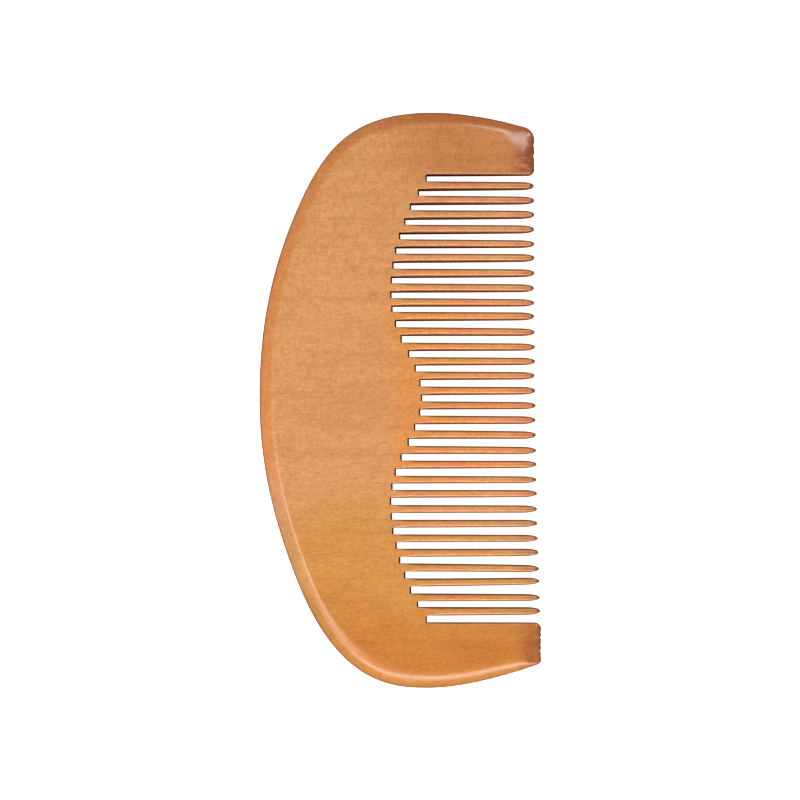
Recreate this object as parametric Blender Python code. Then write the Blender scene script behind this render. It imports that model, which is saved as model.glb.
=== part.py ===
"""Half-moon wooden beard comb, cut from one board: back, two end guards and thirty teeth.

The comb lies on one face. +X runs from the back to the tooth tips, +Y along the row of
teeth and +Z up through the thickness, with the origin under the middle of its box.
"""
import math

import bmesh
import bpy
from mathutils import Matrix, Vector

MM = 0.001

# Board
THICKNESS = 9.0 * MM  # between the two flat faces of the back
TIP_THICKNESS = 5.0 * MM  # where both faces have been ground down to the tips
TAPER_START_X = 0.0 * MM  # the faces are level up to here and then curve down to the tips
TAPER_STEPS = 6
RIM_WIDTH = 3.0 * MM  # rounded band from the arris of a flat face to the outer edge
RIM_STEPS = 4  # facets of the rim on each side of its middle
OUTLINE_STEPS = 10  # facets of each curved stretch of the outline

# Row of teeth
TOOTH_COUNT = 30
PITCH = 3.06 * MM
KERF = 1.4 * MM  # width of the sawn gap at the roots
ROW_CENTRE_Y = 0.25 * MM
NOSE_LENGTH = 2.9 * MM  # as seen from above
TOOTH_NOSE = 1.3 * MM  # as seen from the side
NOSE_STEPS = 4
NOSE_WIDTH = 0.35 * MM
NOSE_PULL = 0.35 * MM
SHANK_TAPER = 0.16 * MM  # how much narrower a tooth is at its nose than at its root

# Ends of the gaps: a wave over the middle of the row, curving away to both guards
WAVE_CENTRE_X = 1.25 * MM
WAVE_HEIGHT = 3.15 * MM
WAVE_GAPS = 6.5  # gaps from the crest to the trough
SWEEP_START = 7.0  # gaps from the middle where the outer curve takes over
SWEEP_X = -2.0 * MM
SWEEP_RATE = 0.115 * MM

# Line of the tips, from the upper guard to the lower one
TIP_UPPER_X = 28.0 * MM
TIP_LEAN = 0.2 * MM
TIP_SWEEP = 1.15 * MM

# End guards
UPPER_GUARD_NOSE = 1.4 * MM  # as seen from the side
LOWER_GUARD_NOSE = 0.7 * MM
GUARD_INNER_CORNER = 1.2 * MM
UPPER_GUARD_SLOPE = 17.0  # of the outer edge near the tip, in degrees from the X axis
LOWER_GUARD_SLOPE = 20.0
UPPER_GUARD_SHOULDER = (1.6 * MM, 56.6 * MM, 54.2 * MM)  # back from the tip, Y there, Y at the tip
LOWER_GUARD_SHOULDER = (1.2 * MM, -55.2 * MM, -54.1 * MM)

JOINT_GAP = 0.3 * MM  # kept between neighbouring solids
CUT_MARGIN = 0.05 * MM  # by which one cut runs past the end that another one makes
GUARD_OVERCUT = 16.0 * MM  # by which a guard's block clears the outer edge of the board
REACH = 80.0 * MM  # longer than any cut

HALF = THICKNESS / 2
TOOTH_WIDTH = PITCH - KERF
ROW_HALF = (TOOTH_COUNT * PITCH + KERF) / 2
ROW_TOP = ROW_CENTRE_Y + ROW_HALF
ROW_BOTTOM = ROW_CENTRE_Y - ROW_HALF

WOOD = {
    "back": (0.66, 0.31, 0.115, 1.0),
    "guard": (0.57, 0.235, 0.075, 1.0),
    "tooth": (0.61, 0.27, 0.095, 1.0),
}


def gap_root(index):
    """X of the closed end of a gap, counted from the upper guard."""
    away = abs(index - TOOTH_COUNT / 2)
    if away < SWEEP_START:
        return WAVE_CENTRE_X + WAVE_HEIGHT * math.cos(math.pi * away / WAVE_GAPS)
    return SWEEP_X + SWEEP_RATE * (away - SWEEP_START) ** 2


def tooth_base(index):
    """X where a tooth leaves the back: the shallower of the gaps beside it."""
    return max(gap_root(index), gap_root(index + 1))


def tooth_centre(index):
    return ROW_TOP - KERF - TOOTH_WIDTH / 2 - index * PITCH


def tip_line(y):
    """X of the tips at a place along the row."""
    along = (ROW_TOP - y) / (ROW_TOP - ROW_BOTTOM)
    return TIP_UPPER_X + TIP_LEAN * along + TIP_SWEEP * along ** 3


def half_thickness(x):
    """Half the board at x: level, then curving down to the tips."""
    along = max(x - TAPER_START_X, 0) / (TIP_UPPER_X - TAPER_START_X)
    return HALF - (THICKNESS - TIP_THICKNESS) / 2 * along ** 2


def material(name, colour):
    wood = bpy.data.materials.new(name)
    wood.use_nodes = True
    shader = wood.node_tree.nodes["Principled BSDF"]
    shader.inputs["Base Color"].default_value = colour
    shader.inputs["Roughness"].default_value = 0.38
    shader.inputs["Metallic"].default_value = 0.0
    return wood


def collection(name):
    group = bpy.data.collections.new(name)
    bpy.context.scene.collection.children.link(group)
    return group


def knot(x, y, heading, reach_in, reach_out):
    """A smooth Bezier knot in mm: its heading in degrees and the reach of both handles."""
    place = Vector((x, y, 0)) * MM
    along = Vector((math.cos(math.radians(heading)), math.sin(math.radians(heading)), 0)) * MM
    return place - along * reach_in, place, place + along * reach_out


def bezier_outline(name, knots, steps):
    curve = bpy.data.curves.new(name, "CURVE")
    curve.dimensions = "2D"
    curve.fill_mode = "BOTH"
    curve.resolution_u = steps
    spline = curve.splines.new("BEZIER")
    spline.use_cyclic_u = True
    spline.bezier_points.add(len(knots) - 1)
    for point, (handle_in, place, handle_out) in zip(spline.bezier_points, knots):
        point.handle_left_type = "FREE"
        point.handle_right_type = "FREE"
        point.co = place
        point.handle_left = handle_in
        point.handle_right = handle_out
    return curve


def straight_outline(name, points, closed=True):
    curve = bpy.data.curves.new(name, "CURVE")
    curve.dimensions = "2D"
    curve.fill_mode = "BOTH"
    spline = curve.splines.new("POLY")
    spline.use_cyclic_u = closed
    spline.points.add(len(points) - 1)
    for point, (x, y) in zip(spline.points, points):
        point.co = (x, y, 0, 1)
    return curve


def solid_from_curve(name, curve, group, turn=None):
    """Turns a filled curve into a welded mesh object with its faces pointing out."""
    source = bpy.data.objects.new(name + "_curve", curve)
    group.objects.link(source)
    if turn is not None:
        source.matrix_world = turn
    bpy.context.view_layer.update()
    evaluated = source.evaluated_get(bpy.context.evaluated_depsgraph_get())
    mesh = bpy.data.meshes.new_from_object(evaluated)
    mesh.name = name
    body = bmesh.new()
    body.from_mesh(mesh)
    bmesh.ops.remove_doubles(body, verts=body.verts, dist=0.001 * MM)
    bmesh.ops.recalc_face_normals(body, faces=body.faces)
    body.to_mesh(mesh)
    body.free()
    piece = bpy.data.objects.new(name, mesh)
    piece.matrix_world = source.matrix_world
    group.objects.link(piece)
    bpy.data.objects.remove(source)
    bpy.data.curves.remove(curve)
    return piece


def cut(piece, tool, operation):
    boolean = piece.modifiers.new(operation.lower() + "_" + tool.name, "BOOLEAN")
    boolean.operation = operation
    boolean.solver = "EXACT"
    boolean.object = tool


def tool(piece):
    """Marks a cutter, which is no part of the comb."""
    piece.hide_render = True
    piece.display_type = "WIRE"
    return piece


def rim_profile():
    """Arc across the edge of the board, square to the faces at its outermost point."""
    radius = (RIM_WIDTH ** 2 + HALF ** 2) / (2 * RIM_WIDTH)
    half_angle = math.asin(HALF / radius)
    points = []
    for step in range(-RIM_STEPS, RIM_STEPS + 1):
        angle = half_angle * step / RIM_STEPS
        points.append((radius * (1 - math.cos(angle)), radius * math.sin(angle)))
    return straight_outline("rim_profile", points, closed=False)


def board_knots():
    """The half-moon, carried on to the right beyond the guards, which trim it."""
    return [
        knot(6.65, 60.0, 180, 7.0, 15.4),
        knot(-20.5, 42.1, 245, 13.0, 20.2),
        knot(-29.35, 0.0, 270, 8.6, 15.0),
        knot(-21.8, -36.9, 291, 10.5, 24.4),
        knot(5.85, -60.0, 0, 7.2, 7.0),
        knot(27.0, -55.71, LOWER_GUARD_SLOPE, 5.6, 3.0),
        knot(40.0, -48.5, 60, 3.0, 3.0),
        knot(40.0, 49.0, 120, 3.0, 3.0),
        knot(27.0, 56.6, 180 - UPPER_GUARD_SLOPE, 3.0, 6.0),
    ]


def half_moon_board(name, group, tools):
    """The full board with its rounded rim, before the faces are tapered."""
    curve = bezier_outline(name, board_knots(), OUTLINE_STEPS)
    rim = bpy.data.objects.new("rim_profile", rim_profile())
    tools.objects.link(tool(rim))
    curve.bevel_mode = "OBJECT"
    curve.bevel_object = rim
    turn = Matrix.Translation((0, 0, HALF))
    return solid_from_curve(name, curve, group, turn)


def side_profile(name, tip_x, nose, group):
    """Side view of the comb up to a tip: level back, curved taper and a rounded nose."""
    upper = [(-REACH, HALF)]
    nose_x = tip_x - nose
    for step in range(TAPER_STEPS + 1):
        x = TAPER_START_X + (nose_x - TAPER_START_X) * step / TAPER_STEPS
        upper.append((x, half_thickness(x)))
    tip_half = half_thickness(nose_x)
    for step in range(1, NOSE_STEPS + 1):
        angle = math.pi / 2 * step / NOSE_STEPS
        x = nose_x + nose * math.sin(angle)
        upper.append((x, tip_half - nose * (1 - math.cos(angle))))
    lower = [(x, -z) for x, z in reversed(upper)]
    curve = straight_outline(name, upper + lower)
    curve.extrude = REACH
    turn = Matrix.Translation((0, 0, HALF)) @ Matrix.Rotation(math.pi / 2, 4, "X")
    return tool(solid_from_curve(name, curve, group, turn))


def row_cutter(group):
    """Everything to the right of the stepped line where the back ends."""
    steps = [(ROW_TOP + REACH, gap_root(0))]
    y = ROW_TOP
    for index in range(TOOTH_COUNT):
        steps.append((y - KERF, gap_root(index)))
        steps.append((y - PITCH, tooth_base(index)))
        y -= PITCH
    steps.append((ROW_BOTTOM - REACH, gap_root(TOOTH_COUNT)))
    points = [(REACH, steps[0][0]), (steps[0][1], steps[0][0])]
    for (bottom, x), (_, next_x) in zip(steps[1:], steps[2:] + steps[-1:]):
        points.append((x, bottom))
        if abs(next_x - x) > 0.001 * MM:
            points.append((next_x, bottom))
    points.append((REACH, steps[-1][0]))
    curve = straight_outline("row_cutter", points)
    curve.extrude = REACH
    return tool(solid_from_curve("row_cutter", curve, group))


def guard_block(name, side, tip_x, shoulder, group):
    """Plan of an end guard, on side +1 or -1: straight inner face and round tip corners."""
    inset, shoulder_y, tip_y = (value / MM for value in shoulder)
    slope = UPPER_GUARD_SLOPE if side > 0 else LOWER_GUARD_SLOPE
    inner = (ROW_TOP if side > 0 else ROW_BOTTOM) / MM
    base = (gap_root(0) + JOINT_GAP) / MM
    corner = GUARD_INNER_CORNER / MM
    tip = tip_x / MM
    outward = 90 * side
    backward = 180 - slope * side
    knots = [
        knot(base, inner, 0, 0, 0),
        knot(tip - corner, inner, 0, 0, corner / 2),
        knot(tip, inner + side * corner, outward, corner / 2, 0),
        knot(tip, tip_y, outward, 0, inset / 2),
        knot(tip - inset, shoulder_y, backward, inset / 2, 0),
        knot(base, shoulder_y + side * GUARD_OVERCUT / MM, 180, 0, 0),
    ]
    curve = bezier_outline(name, knots, 4)
    curve.extrude = REACH
    return tool(solid_from_curve(name, curve, group))


def tooth_outline(base_x, tip_x, y):
    """Plan of a tooth: nearly parallel shank and a bullet nose."""
    base = base_x / MM
    shoulder = (tip_x - NOSE_LENGTH) / MM
    tip = tip_x / MM
    middle = y / MM
    wide = TOOTH_WIDTH / 2 / MM
    slim = (TOOTH_WIDTH - SHANK_TAPER) / 2 / MM
    nose = NOSE_WIDTH / 2 / MM
    reach = 0.43 * NOSE_LENGTH / MM
    pull = NOSE_PULL / MM
    return [
        knot(base, middle - wide, 0, 0, 0),
        knot(shoulder, middle - slim, 0, 0, reach),
        knot(tip, middle - nose, 90, pull, 0),
        knot(tip, middle + nose, 90, 0, pull),
        knot(shoulder, middle + slim, 180, reach, 0),
        knot(base, middle + wide, 180, 0, 0),
    ]


def tooth(name, index, group, tools, wood):
    y = tooth_centre(index)
    tip_x = tip_line(y)
    curve = bezier_outline(name, tooth_outline(tooth_base(index) + JOINT_GAP, tip_x, y), 3)
    curve.extrude = THICKNESS
    piece = solid_from_curve(name, curve, group)
    cut(piece, side_profile(name + "_side", tip_x + CUT_MARGIN, TOOTH_NOSE, tools), "INTERSECT")
    piece.data.materials.append(wood)
    return piece


def main():
    for thing in list(bpy.data.objects):
        bpy.data.objects.remove(thing)
    comb = collection("beard_comb")
    tools = collection("cutters")
    woods = {name: material("wood_" + name, colour) for name, colour in WOOD.items()}

    back = half_moon_board("back", comb, tools)
    cut(back, side_profile("faces", TIP_UPPER_X, LOWER_GUARD_NOSE, tools), "INTERSECT")
    cut(back, row_cutter(tools), "DIFFERENCE")
    back.data.materials.append(woods["back"])

    guards = (
        ("upper_end_guard", 1, tip_line(ROW_TOP), UPPER_GUARD_NOSE, UPPER_GUARD_SHOULDER),
        ("lower_end_guard", -1, tip_line(ROW_BOTTOM), LOWER_GUARD_NOSE, LOWER_GUARD_SHOULDER),
    )
    for name, side, tip_x, nose, shoulder in guards:
        guard = half_moon_board(name, comb, tools)
        cut(guard, side_profile(name + "_side", tip_x + CUT_MARGIN, nose, tools), "INTERSECT")
        cut(guard, guard_block(name + "_plan", side, tip_x, shoulder, tools), "INTERSECT")
        guard.data.materials.append(woods["guard"])

    for index in range(TOOTH_COUNT):
        tooth("tooth_%02d" % (index + 1), index, comb, tools, woods["tooth"])


main()
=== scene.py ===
import math
import random

import bmesh
import bpy
import numpy as np
from mathutils import Matrix, Vector
from mathutils.geometry import delaunay_2d_cdt


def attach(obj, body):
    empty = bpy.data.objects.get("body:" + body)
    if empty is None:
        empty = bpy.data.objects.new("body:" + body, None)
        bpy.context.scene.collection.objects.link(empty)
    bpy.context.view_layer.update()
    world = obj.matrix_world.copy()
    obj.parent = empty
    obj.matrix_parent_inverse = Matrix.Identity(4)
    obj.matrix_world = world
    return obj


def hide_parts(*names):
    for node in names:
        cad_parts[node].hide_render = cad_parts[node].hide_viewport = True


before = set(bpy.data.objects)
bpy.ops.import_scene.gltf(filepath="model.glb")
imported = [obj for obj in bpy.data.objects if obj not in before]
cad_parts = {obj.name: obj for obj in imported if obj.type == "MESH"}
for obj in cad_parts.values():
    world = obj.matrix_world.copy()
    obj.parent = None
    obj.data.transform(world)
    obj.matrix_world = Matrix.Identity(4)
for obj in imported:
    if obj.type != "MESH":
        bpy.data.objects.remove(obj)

print("packed comb loaded:", len(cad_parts), "nodes")
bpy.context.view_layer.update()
mm = 0.001


# The board: a half-moon of wood, level over the back and ground thinner towards the tips.
# Lengths are in millimetres, headings in degrees.
board = {
    "half": 4.5,  # half its thickness over the back
    "tipHalf": 2.5,  # the same at the tips
    "taperLength": 28.0,  # over which both faces curve down to the tips
    "outline": [  # x, y, heading, reach before the point, reach after it
        (28.0, 54.2, 90, 0.0, 1.1),
        (26.0, 56.9, 163, 1.2, 5.0),
        (6.65, 59.99, 180, 7.0, 15.4),
        (-20.5, 42.1, 245, 13.0, 20.2),
        (-29.35, 0.0, 270, 8.6, 15.0),
        (-21.8, -36.9, 291, 10.5, 24.4),
        (5.85, -59.99, 0, 7.2, 7.0),
        (28.1, -55.3, 20, 6.0, 0.7),
        (29.35, -54.1, 90, 0.7, 0.0),
    ],
    "outlineSteps": [10, 26, 44, 50, 44, 50, 28, 8],  # places along each stretch of the outline
    "rimBottom": 3.0,  # width of the rounded rim at the lower, middle and upper part of the outline
    "rimMiddle": 2.9,
    "rimTop": 2.6,
    "rimRings": 5,
    "arrisRings": 4,
    "arrisSoft": 0.45,  # how far the arris inside the rim has been rubbed down
    "arrisSoftBelow": 0.95,  # more of it along the lower end of the outline
    "arrisSoftGuards": 1.0,  # and towards the ends of the guards
    "faceGrid": 1.5,  # spacing of the places inside the flat face
    "crease": 38.0,  # edges sharper than this stay crisp
}

# The row of thirty teeth and the ends of the saw cuts between them.
teeth = {
    "count": 30,
    "pitch": 3.06,
    "kerf": 1.4,
    "rowCentre": 0.25,
    "rowBow": 0.15,  # how far the middle of the row has crept up
    "rowSkew": 0.28,  # and its upper half more than its lower half
    "nose": 1.3,  # rounding of a tip as seen from the side
    "noseLength": 2.9,  # and as seen on the face
    "nosePull": (0.52, 0.68),  # how full the nose stays before it closes
    "noseSteps": 12,
    "shankTaper": 0.16,  # how much narrower a tooth is at its nose than at its root
    "arris": 0.68,  # rounding of its long edges
    "arrisMost": 0.82,  # share of the half width that the rounding may take
    "rootArris": 0.16,
    "rootFade": 3.5,  # length over which the rounding grows from the root
    "rootCorner": 0.14,
    "rootSlant": 0.2,  # the saw went in a little deeper on the upper face
    "wallStep": 1.1,
    "waveCentre": 1.25,  # the saw cuts end on a wave over the middle of the row
    "waveHeight": 3.15,
    "waveGaps": 6.5,
    "sweepStart": 7.0,  # and on two sweeps towards the guards
    "sweepX": -2.0,
    "sweepRate": 0.115,
    "tipX": 28.0,  # line of the tips
    "tipLean": 0.2,
    "tipSweep": 1.15,
    "strayPlace": 0.05,  # hand-sawn differences from tooth to tooth
    "strayWidth": 0.05,
    "strayLean": 0.07,
    "strayTip": 0.08,
    "strayRoot": 0.06,
    "lean": {26: -0.27, 27: 0.3},  # teeth that have bent a little along the row
    "slim": {12: 0.13},  # and one that came out narrow
    "seed": 23,
}

# The two broad guards that close the row.
guards = {
    "nose": {1: 1.4, -1: 0.7},  # rounding of the upper and the lower guard's end
    "innerCorner": 1.2,
    "cornerSteps": 7,
    "arris": 0.4,
    "cornerArris": 0.85,
    "endArris": 0.2,
    "endStep": 0.16,
    "nickDepth": 0.3,  # tool marks across the end grain
    "nickPitch": 1.27,
    "rimFade": 4.0,  # the rim dies away over this length before the end
    "wornCorner": (26.3, 57.2),  # the upper guard's outer corner has been sanded low
    "wornReach": 5.2,
    "wornDepth": 0.66,
}

splitGap = 0.3  # the pieces of the board part this far beyond the end of the saw cut
noTip = 60.0  # x of the tip for a place that belongs to none
rowTop = teeth["rowCentre"] + (teeth["count"] * teeth["pitch"] + teeth["kerf"]) / 2
rowBottom = teeth["rowCentre"] - (teeth["count"] * teeth["pitch"] + teeth["kerf"]) / 2
toothWidth = teeth["pitch"] - teeth["kerf"]
chance = random.Random(teeth["seed"])


def smooth(value):
    value = np.clip(value, 0.0, 1.0)
    return value * value * (3 - 2 * value)


def bezier(start, startPull, endPull, end, steps):
    points = []
    for step in range(steps + 1):
        t = step / steps
        a, b, c, d = (1 - t) ** 3, 3 * t * (1 - t) ** 2, 3 * t * t * (1 - t), t ** 3
        points.append((a * start[0] + b * startPull[0] + c * endPull[0] + d * end[0],
                       a * start[1] + b * startPull[1] + c * endPull[1] + d * end[1]))
    return points


def outlinePoints():
    points = []
    knots = board["outline"]
    for (x, y, heading, _, reach), (x2, y2, heading2, reach2, _), steps in zip(
            knots, knots[1:], board["outlineSteps"]):
        a, b = math.radians(heading), math.radians(heading2)
        stretch = bezier((x, y), (x + reach * math.cos(a), y + reach * math.sin(a)),
                         (x2 - reach2 * math.cos(b), y2 - reach2 * math.sin(b)), (x2, y2), steps)
        points += stretch if not points else stretch[1:]
    return points


def tipLine(y):
    along = (rowTop - y) / (rowTop - rowBottom)
    return teeth["tipX"] + teeth["tipLean"] * along + teeth["tipSweep"] * along ** 3


def sawEnd(gap):
    away = abs(gap - teeth["count"] / 2)
    if away < teeth["sweepStart"]:
        return teeth["waveCentre"] + teeth["waveHeight"] * math.cos(math.pi * away / teeth["waveGaps"])
    return teeth["sweepX"] + teeth["sweepRate"] * (away - teeth["sweepStart"]) ** 2


def faceHeight(x, tip, nose):
    # half the board's thickness at x: level, then curving down, then rounded at the tip
    shoulder = tip - nose
    along = np.clip(np.minimum(x, shoulder), 0, None) / board["taperLength"]
    height = board["half"] - (board["half"] - board["tipHalf"]) * along ** 2
    over = np.clip((x - shoulder) / nose, 0, 1)
    return height - nose * (1 - np.sqrt(1 - over ** 2))


# How every tooth and every saw cut strays from the marked-out row
sawEnds = []
for gap in range(teeth["count"] + 1):
    stray = chance.gauss(0, teeth["strayRoot"]) if 0 < gap < teeth["count"] else 0.0
    sawEnds.append(sawEnd(gap) + max(-0.12, min(0.12, stray)))
tooth = []
for index in range(teeth["count"]):
    fromMiddle = 2 * index / (teeth["count"] - 1) - 1
    centre = (rowTop - teeth["kerf"] - toothWidth / 2 - index * teeth["pitch"]
              + (teeth["rowBow"] - teeth["rowSkew"] * fromMiddle) * (1 - fromMiddle ** 2))
    base = max(sawEnds[index], sawEnds[index + 1])
    tooth.append({
        "centre": centre + max(-0.1, min(0.1, chance.gauss(0, teeth["strayPlace"]))),
        "half": (toothWidth + max(-0.1, min(0.1, chance.gauss(0, teeth["strayWidth"])))
                 - teeth["slim"].get(index, 0.0)) / 2,
        "lean": teeth["lean"].get(index, max(-0.14, min(0.14, chance.gauss(0, teeth["strayLean"])))),
        "tip": tipLine(centre) - abs(max(-0.16, min(0.16, chance.gauss(0, teeth["strayTip"])))),
        "base": base,
        "split": base + splitGap,
    })
guardSplit = {1: sawEnds[0] + splitGap, -1: sawEnds[-1] + splitGap}


def toothMiddle(one, x):
    along = max(x - one["base"], 0) / (one["tip"] - one["base"])
    return one["centre"] + one["lean"] * along ** 1.6


def toothHalf(one, x):
    shoulder = one["tip"] - teeth["noseLength"]
    along = min(max(x - one["base"], 0) / (shoulder - one["base"]), 1.0)
    return one["half"] - teeth["shankTaper"] / 2 * along


# The edge of the comb, once round, with the wood on the left of the way it runs.
# Each place holds x, y, how far it is rim, its arris radius, the tip and nose it belongs to,
# and the end of the saw cut it stands in.
edge = []


def addEdge(x, y, rim, arris, tip, nose, root=-1000.0):
    edge.append((x, y, rim, arris, tip, nose, root))


def wallPlaces(start, end, stops):
    # places along a saw wall, with one exactly at each stop
    marks = sorted({start, end, *[stop for stop in stops if start < stop < end]})
    places = []
    for a, b in zip(marks, marks[1:]):
        count = max(1, round((b - a) / teeth["wallStep"]))
        places += [a + (b - a) * step / count for step in range(count)]
    return places + [end]


def wallArris(x, root, one):
    most = min(teeth["arris"], teeth["arrisMost"] * toothHalf(one, x)) if one else guards["arris"]
    return teeth["rootArris"] + (most - teeth["rootArris"]) * smooth((x - root) / teeth["rootFade"])


def edgeOfGuardEnd(side, tip):
    # the end grain of a guard, from its outer corner to its inner one, with the tool marks
    outer = board["outline"][0][1] if side > 0 else board["outline"][-1][1]
    inner = (rowTop if side > 0 else rowBottom) + side * guards["innerCorner"]
    count = round(abs(outer - inner) / guards["endStep"])
    marks = []
    for step in range(1, count):
        y = outer + (inner - outer) * step / count
        fade = smooth(min(step, count - step) / 5)
        wander = 0.25 * math.sin(y * 1.9 + side) + 0.12 * math.sin(y * 4.3)
        ridge = abs(math.sin(math.pi * (y + wander) / guards["nickPitch"]))
        depth = guards["nickDepth"] * (0.65 + 0.35 * math.sin(y * 2.6 + 2 * side))
        arris = guards["arris"] + (guards["endArris"] - guards["arris"]) * fade
        marks.append((tip - fade * depth * (1 - ridge), y, arris))
    return marks


def sawCut(gap):
    # lower wall of the cut going in, its end, and its upper wall coming out
    root = sawEnds[gap]
    below = tooth[gap] if gap < teeth["count"] else None
    above = tooth[gap - 1] if gap > 0 else None
    corner = teeth["rootCorner"]
    if below:
        wallEnd = below["tip"] - teeth["noseLength"]
        lower = [(x, toothMiddle(below, x) + toothHalf(below, x), below["tip"])
                 for x in reversed(wallPlaces(root + corner, wallEnd, [below["split"]]))]
    else:
        tip = tipLine(rowBottom)
        lower = [(x, rowBottom, tip)
                 for x in reversed(wallPlaces(root + corner, tip - guards["innerCorner"],
                                              [guardSplit[-1]]))]
    if above:
        wallEnd = above["tip"] - teeth["noseLength"]
        upper = [(x, toothMiddle(above, x) - toothHalf(above, x), above["tip"])
                 for x in wallPlaces(root + corner, wallEnd, [above["split"]])]
    else:
        tip = tipLine(rowTop)
        upper = [(x, rowTop, tip)
                 for x in wallPlaces(root + corner, tip - guards["innerCorner"], [guardSplit[1]])]
    for x, y, tip in lower:
        nose = teeth["nose"] if below else guards["nose"][-1]
        addEdge(x, y, 0.0, wallArris(x, root, below), tip, nose, root)
    low, high = lower[-1][1], upper[0][1]
    turns = [math.radians(angle) for angle in (30, 60, 90)]
    end = [(corner * (1 - math.sin(turn)), low + corner * (1 - math.cos(turn))) for turn in turns]
    end.append((0.0, (low + high) / 2))
    end += [(corner * (1 - math.sin(turn)), high - corner * (1 - math.cos(turn))) for turn in reversed(turns)]
    for out, y in end:
        addEdge(root + out, y, 0.0, teeth["rootArris"], noTip, 1.0, root)
    for x, y, tip in upper:
        nose = teeth["nose"] if above else guards["nose"][1]
        addEdge(x, y, 0.0, wallArris(x, root, above), tip, nose, root)


def toothNose(one):
    # round the tip from the lower side of a tooth to its upper side
    tip, shoulder = one["tip"], one["tip"] - teeth["noseLength"]
    slim = toothHalf(one, shoulder)
    half = bezier((shoulder, slim), (shoulder + teeth["nosePull"][0] * teeth["noseLength"], slim),
                  (tip, teeth["nosePull"][1] * slim), (tip, 0.0), teeth["noseSteps"])
    places = [(x, -w) for x, w in half[1:]] + [(x, w) for x, w in reversed(half[1:-1])]
    for x, offset in places:
        arris = max(0.12, min(teeth["arris"], teeth["arrisMost"] * abs(offset)))
        addEdge(x, toothMiddle(one, x) + offset, 0.0, arris, tip, teeth["nose"])


def walkRound():
    upperTip, lowerTip = tipLine(rowTop), tipLine(rowBottom)
    corner = guards["innerCorner"]
    for x, y in outlinePoints():
        side = 1 if y > 0 else -1
        tip = upperTip if side > 0 else lowerTip
        rim = smooth((tip - x) / guards["rimFade"] - 0.12)
        arris = guards["arris"] + (guards["cornerArris"] - guards["arris"]) * smooth((tip - x) / 1.5)
        addEdge(x, y, rim, arris, tip, guards["nose"][side])
    for x, y, arris in edgeOfGuardEnd(-1, lowerTip):
        addEdge(x, y, 0.0, arris, lowerTip, guards["nose"][-1])
    for x, y in bezier((lowerTip, rowBottom - corner), (lowerTip, rowBottom - corner * 0.45),
                       (lowerTip - corner * 0.55, rowBottom), (lowerTip - corner, rowBottom),
                       guards["cornerSteps"])[:-1]:
        addEdge(x, y, 0.0, guards["arris"], lowerTip, guards["nose"][-1])
    for gap in range(teeth["count"], -1, -1):
        sawCut(gap)
        if gap > 0:
            toothNose(tooth[gap - 1])
    for x, y in bezier((upperTip - corner, rowTop), (upperTip - corner * 0.55, rowTop),
                       (upperTip, rowTop + corner * 0.45), (upperTip, rowTop + corner),
                       guards["cornerSteps"])[1:]:
        addEdge(x, y, 0.0, guards["arris"], upperTip, guards["nose"][1])
    for x, y, arris in reversed(edgeOfGuardEnd(1, upperTip)):
        addEdge(x, y, 0.0, arris, upperTip, guards["nose"][1])


walkRound()
placeX, placeY, rimShare, arrisOf, tipOf, noseOf, rootOf = np.array(edge).T


def placesWhereGuardsPart():
    # the outline gets a place exactly where each guard parts from the back
    found = []
    for side in (1, -1):
        cut = guardSplit[side]
        here = np.flatnonzero((placeY * side > 50) & (rimShare > 0.5))
        nearest = here[np.argmin(abs(placeX[here] - cut))]
        slope = (placeY[nearest + 1] - placeY[nearest - 1]) / (placeX[nearest + 1] - placeX[nearest - 1])
        placeY[nearest] += slope * (cut - placeX[nearest])
        placeX[nearest] = cut
        found.append(nearest)
    return found


splitPlaces = placesWhereGuardsPart()
print("edge of the comb:", len(placeX), "places")

# Inward direction at each place, lengthened at corners so that the rings stay parallel
alongX, alongY = np.roll(placeX, -1) - placeX, np.roll(placeY, -1) - placeY
length = np.hypot(alongX, alongY)
normalX, normalY = -alongY / length, alongX / length
beforeX, beforeY = np.roll(normalX, 1), np.roll(normalY, 1)
share = 1 + normalX * beforeX + normalY * beforeY
inX, inY = (normalX + beforeX) / share, (normalY + beforeY) / share
for place in splitPlaces:
    inX[place], inY[place] = 0.0, math.copysign(1.0, inY[place])
for one in tooth:
    here = np.flatnonzero(abs(placeX - one["split"]) < 1e-9)
    inX[here] = 0.0
for side in (1, -1):
    here = np.flatnonzero((abs(placeX - guardSplit[side]) < 1e-9) & (abs(placeY) < 50))
    inX[here] = 0.0


# Rings across the edge, from the middle of the thickness up to the flat face
def rimRings():
    wide = np.interp(placeY, [-60, 0, 60], [board["rimBottom"], board["rimMiddle"], board["rimTop"]])
    radius = (wide ** 2 + board["half"] ** 2) / (2 * wide)
    reach = np.full_like(placeX, 0.8)  # how far in the rim meets the face, found by trial
    for _ in range(60):
        height = faceHeight(placeX + inX * reach, tipOf, noseOf)
        reach = 0.5 * reach + 0.5 * (radius - np.sqrt(radius ** 2 - height ** 2))
    height = faceHeight(placeX + inX * reach, tipOf, noseOf)
    rub = (board["arrisSoft"] + board["arrisSoftBelow"] * smooth((-placeY - 38) / 18)
           + board["arrisSoftGuards"] * smooth((placeX - 8) / 18))
    whole = np.arcsin(height / radius)  # angle of the rim's arc from its middle to the face
    last = np.maximum(whole - rub / radius, 0.45 * whole)
    depths, heights = [], []
    for ring in range(board["rimRings"] + 1):
        angle = last * ring / board["rimRings"]
        depths.append(radius * (1 - np.cos(angle)))
        heights.append(radius * np.sin(angle))
    outer, outerHeight = depths[-1], heights[-1]
    inner = reach + rub
    innerHeight = faceHeight(placeX + inX * inner, tipOf, noseOf)
    for ring in range(1, board["arrisRings"] + 1):
        t = ring / board["arrisRings"]
        depths.append((1 - t) ** 2 * outer + 2 * t * (1 - t) * reach + t * t * inner)
        heights.append((1 - t) ** 2 * outerHeight + 2 * t * (1 - t) * height + t * t * innerHeight)
    return np.array(depths), np.array(heights)


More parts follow.
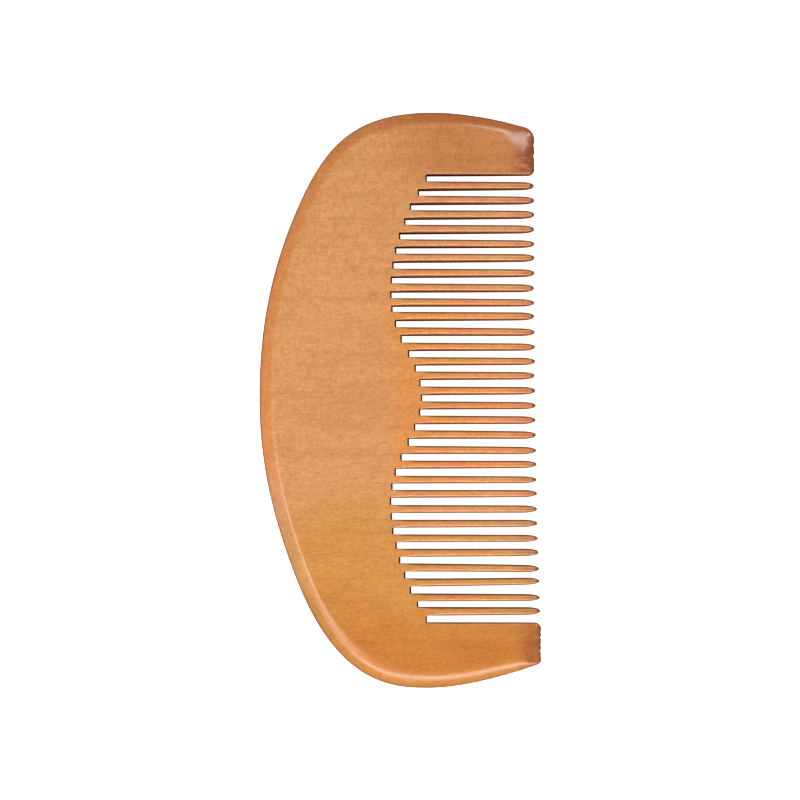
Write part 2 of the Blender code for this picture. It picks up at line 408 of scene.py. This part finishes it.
def arrisRings():
    rounds = board["rimRings"] + board["arrisRings"] - 2
    depths, heights = [np.zeros_like(placeX)] * 2, [np.zeros_like(placeX), None]
    for ring in range(rounds + 1):
        turn = math.pi / 2 * ring / rounds
        depth = arrisOf * (1 - math.cos(turn))
        depths.append(depth)
        heights.append(faceHeight(placeX + inX * depth, tipOf, noseOf) - arrisOf * (1 - math.sin(turn)))
    heights[1] = heights[2] * 0.55  # one ring part of the way up the wall
    return np.array(depths), np.array(heights)


rimDepth, rimHeight = rimRings()
wallDepth, wallHeight = arrisRings()
ringDepth = rimShare * rimDepth + (1 - rimShare) * wallDepth
ringHeight = rimShare * rimHeight + (1 - rimShare) * wallHeight
ringX, ringY = placeX + inX * ringDepth, placeY + inY * ringDepth
ringHeight[-1] = faceHeight(ringX[-1], tipOf, noseOf)
rings, places = ringX.shape
rootShift = teeth["rootSlant"] * np.clip(1 - (placeX - rootOf) / splitGap, 0, 1)


def pieceAt(x, y):
    index = round((rowTop - teeth["kerf"] - toothWidth / 2 - y) / teeth["pitch"])
    if index < 0:
        return "upperGuardWood" if x > guardSplit[1] else "backWood"
    if index >= teeth["count"]:
        return "lowerGuardWood" if x > guardSplit[-1] else "backWood"
    return "toothWood_%02d" % (index + 1) if x > tooth[index]["split"] else "backWood"


def faceOfBoard():
    # triangles of the flat face inside the last ring, parted where the pieces part
    flat = [Vector((x, y)) for x, y in zip(ringX[-1], ringY[-1])]
    lines = [(place, (place + 1) % places) for place in range(places)]
    spare = []
    for one in tooth:
        here = np.flatnonzero(abs(placeX - one["split"]) < 1e-9)
        here = [place for place in here if abs(placeY[place] - one["centre"]) < teeth["pitch"] / 2]
        lines.append(tuple(int(place) for place in here))
    for side, outer in zip((1, -1), splitPlaces):
        here = np.flatnonzero((abs(placeX - guardSplit[side]) < 1e-9) & (abs(placeY) < 50))
        here = [int(place) for place in here if placeY[place] * side > 0
                and abs(placeY[place] - (rowTop if side > 0 else rowBottom)) < 0.5]
        chain = [here[0]]
        parts = 8
        for part in range(1, parts):
            y = ringY[-1][here[0]] + (ringY[-1][outer] - ringY[-1][here[0]]) * part / parts
            chain.append(len(flat) + len(spare))
            spare.append(Vector((guardSplit[side], y)))
        chain.append(int(outer))
        lines += list(zip(chain, chain[1:]))
    # a loose grid inside the ring, clear of the teeth and of the lines where the guards part
    rim = np.array(flat)
    step = board["faceGrid"]
    row = 0
    y = -60.0
    while y < 60:
        x = -30.0 + (row % 2) * step / 2
        while x < 29:
            clear = np.min(np.hypot(rim[:, 0] - x, rim[:, 1] - y)) > 0.62 * step
            if clear and abs(x - guardSplit[1]) > 0.5 and (x < 7 or abs(y) > 46):
                spare.append(Vector((x, y)))
            x += step
        y += step * 0.866
        row += 1
    _, _, triangles, sources, _, _ = delaunay_2d_cdt(flat + spare, lines, [], 1, 1e-7)
    names = [source[0] for source in sources]
    return [(point.x, point.y) for point in flat + spare], \
        [[names[corner] for corner in triangle] for triangle in triangles]


flatPoints, flatTriangles = faceOfBoard()
print("face of the board:", len(flatTriangles), "triangles")


def wornAway(x, y):
    # share of the half thickness that is left by the worn corner
    x0, y0 = guards["wornCorner"]
    near = smooth(1 - np.hypot(x - x0, y - y0) / guards["wornReach"])
    return 1 - guards["wornDepth"] / board["tipHalf"] * near


ringHeight = ringHeight * wornAway(ringX, ringY)

# All points of the board: the rings above, the rings below, then the inside of each face
tipAt = {"upperGuardWood": tipLine(rowTop), "lowerGuardWood": tipLine(rowBottom)}
points = []
for sign in (1, -1):
    for ring in range(rings):
        down = (1 - sign * ringHeight[ring] / ringHeight[-1]) / 2  # 0 at the upper face, 1 at the lower
        for x, y, z in zip(ringX[ring] + rootShift * down, ringY[ring], ringHeight[ring]):
            points.append((x, y, board["half"] + sign * z))
    for x, y in flatPoints[places:]:
        tip = tipAt.get(pieceAt(x, y), noTip)
        height = float(faceHeight(x, tip, guards["nose"][1 if y > 0 else -1]) * wornAway(x, y))
        points.append((x, y, board["half"] + sign * height))
layer = rings * places + len(flatPoints) - places


def pointOf(sign, ring, place):
    if ring == 0:
        return place % places
    return (0 if sign > 0 else layer) + ring * places + place % places


def flatPointOf(sign, number):
    if number < places:
        return pointOf(sign, rings - 1, number)
    return (0 if sign > 0 else layer) + rings * places + number - places


facesOf = {}
for place in range(places):
    following = (place + 1) % places
    piece = pieceAt((placeX[place] + placeX[following]) / 2, (placeY[place] + placeY[following]) / 2)
    for sign in (1, -1):
        for ring in range(rings - 1):
            face = [pointOf(sign, ring, place), pointOf(sign, ring, place + 1),
                    pointOf(sign, ring + 1, place + 1), pointOf(sign, ring + 1, place)]
            facesOf.setdefault(piece, []).append(face if sign > 0 else face[::-1])
for triangle in flatTriangles:
    x = sum(flatPoints[corner][0] for corner in triangle) / 3
    y = sum(flatPoints[corner][1] for corner in triangle) / 3
    for sign in (1, -1):
        face = [flatPointOf(sign, corner) for corner in triangle]
        facesOf.setdefault(pieceAt(x, y), []).append(face if sign > 0 else face[::-1])


# One lacquered wood for the whole board. Its grain runs along the teeth and goes on from piece to piece.
woodFinish = {
    "upperTone": (0.700, 0.308, 0.102),
    "middleTone": (0.690, 0.300, 0.100),
    "goldenTone": (0.658, 0.270, 0.047),
    "lowerTone": (0.575, 0.190, 0.015),
    "rootStain": (1.08, 0.93, 0.60),  # multiplies the tone near the ends of the saw cuts
    # painted shade over the upper guard towards its end
    "upperGuardPaintedShade": (0.82, 0.66, 0.46),
    # darker towards the tips
    "guardEndStain": (0.54, 0.32, 0.18),
    "tipDarkening": (0.80, 0.66, 0.55),
    # the darkest and the palest of each figure in the wood
    "mottle": ((0.95, 0.93, 0.88), (1.03, 1.03, 1.04)),
    "grain": ((0.92, 0.86, 0.74), (1.07, 1.12, 1.22)),
    "streak": ((0.95, 0.93, 0.90), (1.02, 1.02, 1.02)),
    "fibre": ((0.95, 0.92, 0.84), (1.04, 1.06, 1.09)),
    "fleck": (0.90, 0.86, 0.80),
    "speckTone": (0.25, 0.085, 0.020),
    "endTone": (0.17, 0.052, 0.014),
    # painted shade for the walls and the end faces of the saw cuts
    "sawnWallPaintedShade": (0.190, 0.052, 0.013),
    "sawRootPaintedShade": (0.200, 0.070, 0.022),
    # painted shade on the upper rim and a painted sheen on the lower rim
    "upperRimPaintedShade": (1.07, 0.86, 0.58),
    "lowerRimPaintedSheen": (0.87, 1.00, 1.8),
    # painted shade on steep, near-vertical surfaces
    "outerEdgePaintedShade": (0.62, 0.56, 0.56),
    "roughness": (0.44, 0.58),
    "pinkTooth": (1.07, 0.87, 1.08),
    "goldTooth": (0.97, 1.06, 0.76),
    "ior": 1.48,
    "specular": 0.25,
    "coat": 1.0,  # clear lacquer, left off the sawn walls
    "coatRoughness": 0.24,
    "coatIor": 1.6,
}


def woodMaterial():
    wood = bpy.data.materials.new("lacqueredCombWood")
    wood.use_nodes = True
    tree = wood.node_tree
    nodes, links = tree.nodes, tree.links
    shader = nodes["Principled BSDF"]

    def feed(socket, value):
        if isinstance(value, bpy.types.NodeSocket):
            links.new(value, socket)
        elif isinstance(value, tuple) and len(value) == 3 and socket.type == "RGBA":
            socket.default_value = (*value, 1.0)
        else:
            socket.default_value = value

    def reckon(kind, a, b=0.0, c=0.0, clamp=False):
        node = nodes.new("ShaderNodeMath")
        node.operation = kind
        node.use_clamp = clamp
        for socket, value in zip(node.inputs, (a, b, c)):
            feed(socket, value)
        return node.outputs[0]

    def ramp(value, low, high, lowOut=0.0, highOut=1.0):
        node = nodes.new("ShaderNodeMapRange")
        node.interpolation_type = "SMOOTHSTEP"
        for name, part in (("Value", value), ("From Min", low), ("From Max", high),
                           ("To Min", lowOut), ("To Max", highOut)):
            feed(node.inputs[name], part)
        return node.outputs["Result"]

    def blend(kind, amount, a, b):
        node = nodes.new("ShaderNodeMix")
        node.data_type = "RGBA"
        node.blend_type = kind
        feed(node.inputs[0], amount)
        for socket, value in ((node.inputs[6], a), (node.inputs[7], b)):
            feed(socket, value)
        return node.outputs[2]

    def figured(tone, share, figure):
        return blend("MULTIPLY", 1.0, tone, blend("MIX", share, *woodFinish[figure]))

    def noise(size, detail=3.0, rough=0.5, distortion=0.0, shift=(0.0, 0.0, 0.0)):
        # size is the length of one feature along x, y and z, in millimetres
        place = nodes.new("ShaderNodeMapping")
        place.inputs["Scale"].default_value = tuple(1000.0 / part for part in size)
        place.inputs["Location"].default_value = shift
        links.new(where.outputs["Object"], place.inputs["Vector"])
        node = nodes.new("ShaderNodeTexNoise")
        node.inputs["Scale"].default_value = 1.0
        node.inputs["Detail"].default_value = detail
        node.inputs["Roughness"].default_value = rough
        node.inputs["Distortion"].default_value = distortion
        links.new(place.outputs[0], node.inputs["Vector"])
        return node.outputs["Fac"]

    where = nodes.new("ShaderNodeTexCoord")
    spot = nodes.new("ShaderNodeSeparateXYZ")
    links.new(where.outputs["Object"], spot.inputs[0])
    facing = nodes.new("ShaderNodeSeparateXYZ")
    links.new(where.outputs["Normal"], facing.inputs[0])
    xMm = reckon("MULTIPLY", spot.outputs[0], 1000.0)
    yMm = reckon("MULTIPLY", spot.outputs[1], 1000.0)

    # the tone drifts from paler and pinker at one end of the board to golden and orange at the other
    drift = noise((30, 22, 20), 2.0)
    warped = reckon("MULTIPLY_ADD", reckon("SUBTRACT", drift, 0.5), 24.0, yMm)
    tone = blend("MIX", ramp(warped, -4.0, 26.0), woodFinish["middleTone"], woodFinish["upperTone"])
    tone = blend("MIX", ramp(warped, -16.0, -32.0), tone, woodFinish["goldenTone"])
    tone = blend("MIX", ramp(warped, -38.0, -52.0), tone, woodFinish["lowerTone"])
    bySaw = reckon("MULTIPLY", ramp(reckon("MULTIPLY_ADD", drift, 10.0, xMm), 0.0, 7.0),
                  ramp(reckon("ABSOLUTE", yMm), 30.0, 12.0))
    tone = blend("MULTIPLY", bySaw, tone, woodFinish["rootStain"])
    # painted shade: the upper guard darker and redder towards its end
    onUpperGuard = reckon("MULTIPLY", ramp(yMm, 38.0, 50.0), ramp(xMm, -10.0, 12.0))
    tone = blend("MULTIPLY", onUpperGuard, tone, woodFinish["upperGuardPaintedShade"])

    # mottling, fine grain, streaks and fibres
    mottle = noise((2.4, 1.5, 1.8), 4.0, 0.6, 0.3)
    tone = figured(tone, ramp(mottle, 0.3, 0.66), "mottle")
    grain = noise((0.75, 0.45, 0.5), 2.0, 0.6, 0.2, (2.2, 6.1, 3.3))
    tone = figured(tone, ramp(grain, 0.28, 0.70), "grain")
    streak = noise((30, 1.9, 2.0), 3.0, 0.6, 0.15, (3.1, 0.7, 0.2))
    tone = figured(tone, ramp(streak, 0.35, 0.62), "streak")
    fibre = noise((4.0, 0.17, 0.2), 2.0, 0.6, 0.0, (0.4, 5.2, 1.3))
    tone = figured(tone, ramp(fibre, 0.3, 0.7), "fibre")

    # short flecks across the grain, mostly in the upper half of the board
    fleck = noise((0.55, 2.2, 1.2), 2.0, 0.5, 0.4, (7.7, 1.2, 0.4))
    fleckShare = reckon("MULTIPLY", ramp(fleck, 0.48, 0.68), ramp(yMm, -30.0, 45.0, 0.15, 1.0))
    tone = blend("MULTIPLY", fleckShare, tone, woodFinish["fleck"])

    # a few pores that took the stain
    pores = nodes.new("ShaderNodeTexVoronoi")
    poreMap = nodes.new("ShaderNodeMapping")
    poreMap.inputs["Scale"].default_value = (1000 / 2.6, 1000 / 2.1, 1000 / 2.1)
    links.new(where.outputs["Object"], poreMap.inputs["Vector"])
    links.new(poreMap.outputs[0], pores.inputs["Vector"])
    pores.inputs["Scale"].default_value = 1.0
    rare = ramp(noise((9, 7, 9), 2.0, 0.5, 0.0, (2.0, 9.0, 4.0)), 0.56, 0.66)
    pore = reckon("MULTIPLY", ramp(pores.outputs["Distance"], 0.10, 0.05), rare)
    tone = blend("MIX", reckon("MULTIPLY", pore, 0.5), tone, woodFinish["speckTone"])

    # the rim is painted: darker and redder along its upper part as painted shade, paler along its lower part
    # as a painted sheen, and its steep outer edge darker as painted shade; the teeth differ in tint, and the
    # tips are darker
    upright = reckon("ABSOLUTE", facing.outputs[2])
    rim = ramp(upright, 0.96, 0.80)
    # painted shade along the upper rim, blending into a painted sheen along the lower rim
    tone = blend("MULTIPLY", rim, tone,
                 blend("MIX", ramp(yMm, -6.0, -32.0), woodFinish["upperRimPaintedShade"], woodFinish["lowerRimPaintedSheen"]))
    # painted shade on the steep outer edge and other near-vertical sides
    tone = blend("MULTIPLY", ramp(upright, 0.48, 0.14), tone, woodFinish["outerEdgePaintedShade"])
    fromRow = reckon("ABSOLUTE", reckon("SUBTRACT", yMm, teeth["rowCentre"]))
    inTeeth = reckon("MULTIPLY", ramp(xMm, 3.0, 9.0), ramp(fromRow, 47.0, 46.0))
    toothTint = noise((11, 2.4, 30), 2.0, 0.5, 0.0, (4.4, 8.3, 2.7))
    pink = reckon("MULTIPLY", inTeeth, ramp(toothTint, 0.52, 0.66))
    tone = blend("MULTIPLY", pink, tone, woodFinish["pinkTooth"])
    gold = reckon("MULTIPLY", inTeeth, ramp(toothTint, 0.48, 0.34))
    tone = blend("MULTIPLY", gold, tone, woodFinish["goldTooth"])
    along = reckon("DIVIDE", reckon("SUBTRACT", rowTop, yMm), rowTop - rowBottom)
    tipPlace = reckon("MULTIPLY_ADD", reckon("POWER", reckon("MAXIMUM", along, 0.0), 3.0), teeth["tipSweep"],
                     teeth["tipX"] + teeth["tipLean"] / 2)
    fromTip = reckon("SUBTRACT", tipPlace, xMm)
    # darker towards the tips
    tone = blend("MULTIPLY", ramp(fromTip, 7.0, 0.5), tone, woodFinish["tipDarkening"])

    # dark blotches where the stain soaked into the ends of the guards, most of all the upper one
    blotch = ramp(noise((1.7, 1.1, 1.5), 3.0, 0.6, 0.4, (6.2, 2.9, 0.8)), 0.42, 0.56)
    onGuard = ramp(fromRow, 46.8, 47.6)
    soaked = reckon("MULTIPLY", reckon("MULTIPLY", blotch, ramp(fromTip, 6.0, 1.0)),
                   reckon("MULTIPLY", onGuard, ramp(yMm, -10.0, 10.0, 0.45, 1.0)))
    soaked = reckon("MULTIPLY", soaked, ramp(yMm, 53.4, 51.6))
    tone = blend("MULTIPLY", soaked, tone, woodFinish["guardEndStain"])
    ragged = reckon("MULTIPLY_ADD", reckon("SUBTRACT", grain, 0.5), 1.2, facing.outputs[0])
    endGrain = reckon("MULTIPLY", ramp(ragged, 0.30, 0.66), ramp(fromTip, 2.6, 1.6))
    tone = blend("MIX", reckon("MULTIPLY", endGrain, 0.85), tone, woodFinish["endTone"])

    # sawn walls between the teeth painted dark as painted shade in the narrow cuts, darkest on the end face
    # of each cut
    inRow = reckon("MULTIPLY", ramp(fromRow, 47.3, 46.9), ramp(xMm, -6.0, -5.0))
    wall = reckon("MULTIPLY", ramp(reckon("ABSOLUTE", facing.outputs[1]), 0.50, 0.80), inRow)
    tone = blend("MIX", reckon("MULTIPLY", wall, 0.85), tone, woodFinish["sawnWallPaintedShade"])
    rootFace = reckon("MULTIPLY", reckon("MULTIPLY", ramp(facing.outputs[0], 0.35, 0.8), inRow),
                     ramp(xMm, 9.0, 8.0))
    tone = blend("MIX", rootFace, tone, woodFinish["sawRootPaintedShade"])
    feed(shader.inputs["Base Color"], tone)
    sawn = reckon("MAXIMUM", wall, rootFace)
    lacquer = reckon("MULTIPLY_ADD", sawn, -woodFinish["coat"], woodFinish["coat"], True)
    feed(shader.inputs["Coat Weight"], lacquer)

    roughness = ramp(noise((4, 2, 2), 3.0, 0.6), 0.3, 0.7, *woodFinish["roughness"])
    roughness = reckon("MULTIPLY_ADD", sawn, 0.3, roughness)
    feed(shader.inputs["Roughness"], roughness)
    shader.inputs["IOR"].default_value = woodFinish["ior"]
    shader.inputs["Specular IOR Level"].default_value = woodFinish["specular"]
    shader.inputs["Coat Roughness"].default_value = woodFinish["coatRoughness"]
    shader.inputs["Coat IOR"].default_value = woodFinish["coatIor"]

    # the lacquer sinks a little over the fibres and pores, and the sanded faces are not dead level
    relief = reckon("MULTIPLY_ADD", noise((14, 7, 9), 2.0, 0.5, 0.0, (5.0, 3.0, 1.0)), 0.060,
                   reckon("MULTIPLY", fibre, 0.004))
    relief = reckon("MULTIPLY_ADD", mottle, 0.006, relief)
    relief = reckon("MULTIPLY_ADD", pore, -0.02, relief)
    sawMarks = noise((0.5, 2.0, 3.5), 2.0, 0.5, 0.0, (1.0, 1.0, 6.0))
    relief = reckon("MULTIPLY_ADD", reckon("MULTIPLY", sawMarks, sawn), 0.03, relief)
    bump = nodes.new("ShaderNodeBump")
    bump.inputs["Strength"].default_value = 1.0
    bump.inputs["Distance"].default_value = mm
    links.new(relief, bump.inputs["Height"])
    links.new(bump.outputs[0], shader.inputs["Normal"])
    return wood


wood = woodMaterial()
print("wood finish mixed")


def makePiece(name, faces, node):
    used = sorted({corner for face in faces for corner in face})
    number = {corner: spot for spot, corner in enumerate(used)}
    mesh = bpy.data.meshes.new(name)
    mesh.from_pydata([tuple(part * mm for part in points[corner]) for corner in used], [],
                     [[number[corner] for corner in face] for face in faces])
    body = bmesh.new()
    body.from_mesh(mesh)
    bmesh.ops.holes_fill(body, edges=[line for line in body.edges if line.is_boundary], sides=0)
    bmesh.ops.recalc_face_normals(body, faces=body.faces)
    loose = [line for line in body.edges if len(line.link_faces) != 2]
    body.to_mesh(mesh)
    body.free()
    if loose:
        print(name, "has", len(loose), "open edges")
    mesh.shade_smooth()
    mesh.set_sharp_from_angle(angle=math.radians(board["crease"]))
    mesh.materials.append(wood)
    piece = bpy.data.objects.new(name, mesh)
    bpy.context.scene.collection.objects.link(piece)
    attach(piece, "root")
    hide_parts(node)


nodeFor = {"backWood": "back", "upperGuardWood": "upper_end_guard", "lowerGuardWood": "lower_end_guard"}
for index in range(teeth["count"]):
    nodeFor["toothWood_%02d" % (index + 1)] = "tooth_%02d" % (index + 1)
for name, node in nodeFor.items():
    makePiece(name, facesOf[name], node)
print("pieces made:", len(nodeFor))


# A plain white table, bright enough to swallow the soft shadows
table = {
    "half": 1.2,  # half its width, in metres
    "below": 0.25,  # how far under the comb it lies, in millimetres
    "tone": (0.9, 0.9, 0.9),
    "glow": 1.0,
}


def makeTable():
    paper = bpy.data.materials.new("whiteTable")
    paper.use_nodes = True
    shader = paper.node_tree.nodes["Principled BSDF"]
    shader.inputs["Base Color"].default_value = (*table["tone"], 1.0)
    shader.inputs["Roughness"].default_value = 0.9
    shader.inputs["Specular IOR Level"].default_value = 0.1
    shader.inputs["Emission Color"].default_value = (1.0, 1.0, 1.0, 1.0)
    shader.inputs["Emission Strength"].default_value = table["glow"]
    half, low = table["half"], -table["below"] * mm
    mesh = bpy.data.meshes.new("tableTop")
    corners = [(-half, -half, low), (half, -half, low), (half, half, low), (-half, half, low)]
    mesh.from_pydata(corners, [], [(0, 1, 2, 3)])
    mesh.materials.append(paper)
    top = bpy.data.objects.new("tableTop", mesh)
    bpy.context.scene.collection.objects.link(top)
    top.visible_glossy = False  # the lacquer doesn't mirror its glow


makeTable()

# Soft studio lights, all facing the comb: place and size in metres, power in watts
lights = {
    "nearWindow": {"place": (0.05, -0.80, 0.45), "size": (0.9, 0.7), "power": 2.6},
    "leftWindow": {"place": (-0.45, -0.25, 0.75), "size": (0.36, 0.36), "power": 1.5},
    "cornerSheet": {"place": (-0.55, -0.50, 0.42), "size": (0.5, 0.5), "power": 1.2},
    "nearStrip": {"place": (0.0, -0.78, 0.52), "size": (1.3, 0.34), "power": 4.8},
    "farSoftbox": {"place": (0.45, 0.45, 0.90), "size": (0.42, 0.42), "power": 2.9},
}


def addLight(name, one):
    lamp = bpy.data.lights.new(name, "AREA")
    lamp.shape = "RECTANGLE"
    lamp.size, lamp.size_y = one["size"]
    lamp.energy = one["power"]
    holder = bpy.data.objects.new(name, lamp)
    holder.location = one["place"]
    holder.rotation_euler = (-Vector(one["place"])).to_track_quat("-Z", "Y").to_euler()
    bpy.context.scene.collection.objects.link(holder)


for name, one in lights.items():
    addLight(name, one)

# The room is pale overhead and dim below the edge of the table
room = {"overhead": (0.33, 0.33, 0.33), "below": (0.075, 0.036, 0.018)}


def makeRoom():
    world = bpy.data.worlds.new("paleRoom")
    world.use_nodes = True
    nodes, links = world.node_tree.nodes, world.node_tree.links
    towards = nodes.new("ShaderNodeTexCoord")
    height = nodes.new("ShaderNodeSeparateXYZ")
    links.new(towards.outputs["Generated"], height.inputs[0])
    wallTone = nodes.new("ShaderNodeMapRange")
    wallTone.data_type = "FLOAT_VECTOR"
    wallTone.interpolation_type = "SMOOTHSTEP"
    spread = nodes.new("ShaderNodeCombineXYZ")
    for socket in spread.inputs:
        links.new(height.outputs[2], socket)
    links.new(spread.outputs[0], wallTone.inputs["Vector"])
    lowest, highest = (-0.1,) * 3, (0.45,) * 3  # heights between which the tone changes
    for number, value in zip((7, 8, 9, 10), (lowest, highest, room["below"], room["overhead"])):
        wallTone.inputs[number].default_value = value
    links.new(wallTone.outputs["Vector"], nodes["Background"].inputs["Color"])
    bpy.context.scene.world = world


makeRoom()
bpy.context.scene.view_settings.view_transform = "Standard"

# The camera looks almost straight down, from a little towards the lower end of the row.
# Its place and aim are in millimetres, as is its lens.
view = {"place": (15.7, -29.3, 1300.0), "aim": (-0.03, 0.0, 4.5), "lens": 279.7}
lens = bpy.data.cameras.new("combView")
lens.lens = view["lens"]
lens.sensor_width = 36.0
camera = bpy.data.objects.new("combView", lens)
camera.location = Vector(view["place"]) * mm
ahead = (Vector(view["aim"]) - Vector(view["place"])).normalized()
right = ahead.cross(Vector((0, 1, 0))).normalized()
camera.rotation_euler = Matrix((right, right.cross(ahead), -ahead)).transposed().to_euler()
bpy.context.scene.collection.objects.link(camera)
bpy.context.scene.camera = camera
print("table, lights and camera set")
